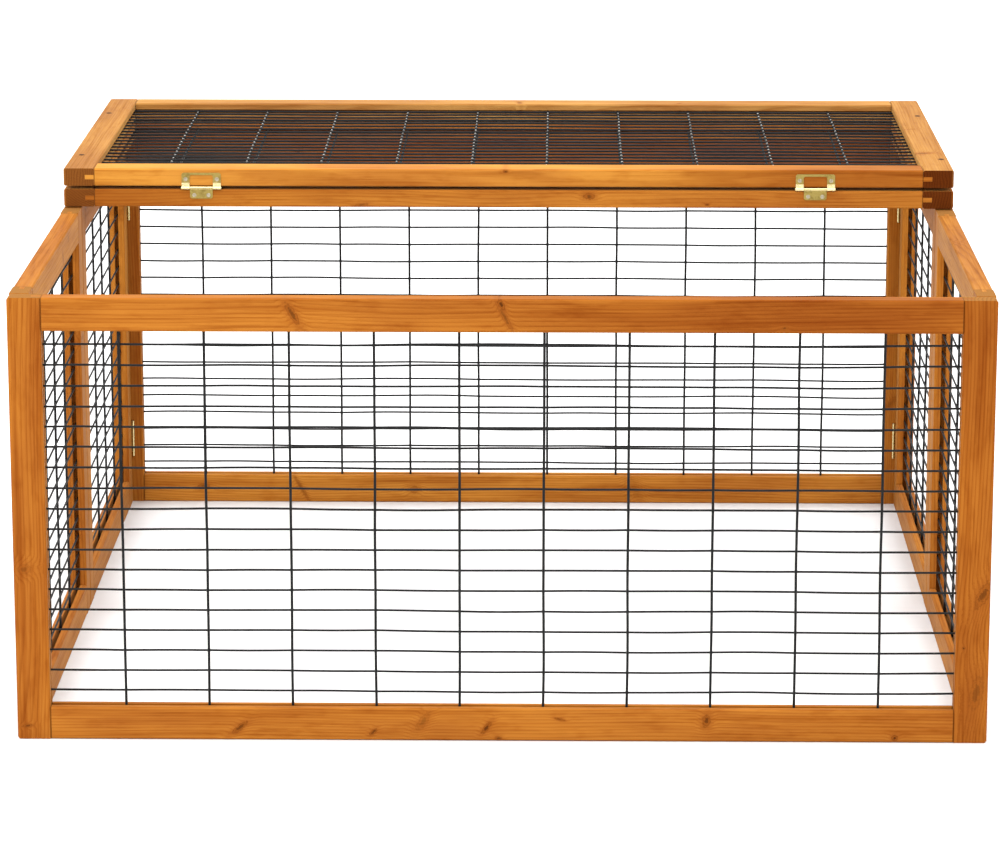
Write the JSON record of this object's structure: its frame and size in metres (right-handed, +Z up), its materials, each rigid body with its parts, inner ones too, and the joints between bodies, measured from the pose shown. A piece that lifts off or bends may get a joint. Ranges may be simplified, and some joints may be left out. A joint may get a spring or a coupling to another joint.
{
  "type": "outdoor rabbit run",
  "caption": "Folding outdoor run for rabbits: timber-framed welded-mesh panels, sides that fold inwards on hinges, and a mesh lid in hinged halves.",
  "frame": {"origin": "on the ground, under the middle of the whole run, hinge barrels included", "axes": "+X to the right seen from the front, +Y from the front panel to the rear panel, +Z up"},
  "size_m": [1.1684, 1.1548, 0.5919],
  "materials": {
    "timber": "satin stained softwood",
    "wire_mesh": "black coated welded wire",
    "hinge_leaf": "brassed steel, satin",
    "hinge_pin": "brassed steel, satin",
    "screw": "yellow zinc plate"
  },
  "bodies": {
    "front_panel": {"front_left_post": "timber", "front_right_post": "timber", "front_bottom_rail": "timber", "front_top_rail": "timber", "front_mesh": "wire_mesh", "front_panel_hinge_leaves": "hinge_leaf", "front_panel_hinge_screws": "screw"},
    "rear_panel": {"rear_left_post": "timber", "rear_right_post": "timber", "rear_bottom_rail": "timber", "rear_top_rail": "timber", "rear_mesh": "wire_mesh", "rear_panel_hinge_leaves": "hinge_leaf", "rear_panel_hinge_pins": "hinge_pin", "rear_panel_hinge_screws": "screw"},
    "left_fore_side": {"left_fore_front_post": "timber", "left_fore_rear_post": "timber", "left_fore_bottom_rail": "timber", "left_fore_top_rail": "timber", "left_fore_mesh": "wire_mesh", "left_fore_hinge_leaves": "hinge_leaf", "left_fore_hinge_screws": "screw", "left_fore_hinge_pins": "hinge_pin"},
    "left_aft_side": {"left_aft_front_post": "timber", "left_aft_rear_post": "timber", "left_aft_bottom_rail": "timber", "left_aft_top_rail": "timber", "left_aft_mesh": "wire_mesh", "left_aft_hinge_leaves": "hinge_leaf", "left_aft_hinge_screws": "screw"},
    "right_fore_side": {"right_fore_front_post": "timber", "right_fore_rear_post": "timber", "right_fore_bottom_rail": "timber", "right_fore_top_rail": "timber", "right_fore_mesh": "wire_mesh", "right_fore_hinge_leaves": "hinge_leaf", "right_fore_hinge_screws": "screw", "right_fore_hinge_pins": "hinge_pin"},
    "right_aft_side": {"right_aft_front_post": "timber", "right_aft_rear_post": "timber", "right_aft_bottom_rail": "timber", "right_aft_top_rail": "timber", "right_aft_mesh": "wire_mesh", "right_aft_hinge_leaves": "hinge_leaf", "right_aft_hinge_screws": "screw"},
    "rear_lid": {"rear_lid_left_rail": "timber", "rear_lid_right_rail": "timber", "rear_lid_meeting_rail": "timber", "rear_lid_hinge_rail": "timber", "rear_lid_mesh": "wire_mesh", "rear_lid_hinge_leaves": "hinge_leaf", "rear_lid_hinge_screws": "screw"},
    "front_lid": {"front_lid_left_rail": "timber", "front_lid_right_rail": "timber", "front_lid_meeting_rail": "timber", "front_lid_free_rail": "timber", "front_lid_mesh": "wire_mesh", "front_lid_hinge_leaves": "hinge_leaf", "front_lid_hinge_pins": "hinge_pin", "front_lid_hinge_screws": "screw"}
  },
  "joints": [
    {"name": "fold", "type": "hinge", "parent": "front_panel", "child": "left_fore_side", "pos_m": [-0.5548, -0.55363, 0], "axis": [0, 0, -1], "range_deg": [0, 90]},
    {"name": "left_side_fold", "type": "hinge", "parent": "left_fore_side", "child": "left_aft_side", "pos_m": [-0.5822, -0.00213, 0], "axis": [0, 0, 1], "range_deg": [0, 180]},
    {"name": "rear_corner_fold", "type": "hinge", "parent": "left_aft_side", "child": "rear_panel", "pos_m": [-0.5548, 0.54937, 0], "axis": [0, 0, -1], "range_deg": [0, 90]},
    {"name": "right_corner_fold", "type": "hinge", "parent": "front_panel", "child": "right_fore_side", "pos_m": [0.5548, -0.55363, 0], "axis": [0, 0, 1], "range_deg": [0, 90]},
    {"name": "right_side_fold", "type": "hinge", "parent": "right_fore_side", "child": "right_aft_side", "pos_m": [0.5822, -0.00213, 0], "axis": [0, 0, -1], "range_deg": [0, 180]},
    {"name": "whole_lid_lift", "type": "hinge", "parent": "rear_panel", "child": "rear_lid", "pos_m": [0, 0.57532, 0.54075], "axis": [-1, 0, 0], "range_deg": [0, 180]},
    {"name": "front_lid_swing", "type": "hinge", "parent": "rear_lid", "child": "front_lid", "pos_m": [0, -0.00213, 0.5667], "axis": [1, 0, 0], "range_deg": [0, 180]}
  ],
  "couplings": [
    {"joint": "left_side_fold", "follows": "fold", "ratio": 2},
    {"joint": "rear_corner_fold", "follows": "fold", "ratio": 1},
    {"joint": "right_corner_fold", "follows": "fold", "ratio": 1},
    {"joint": "right_side_fold", "follows": "fold", "ratio": 2}
  ]
}
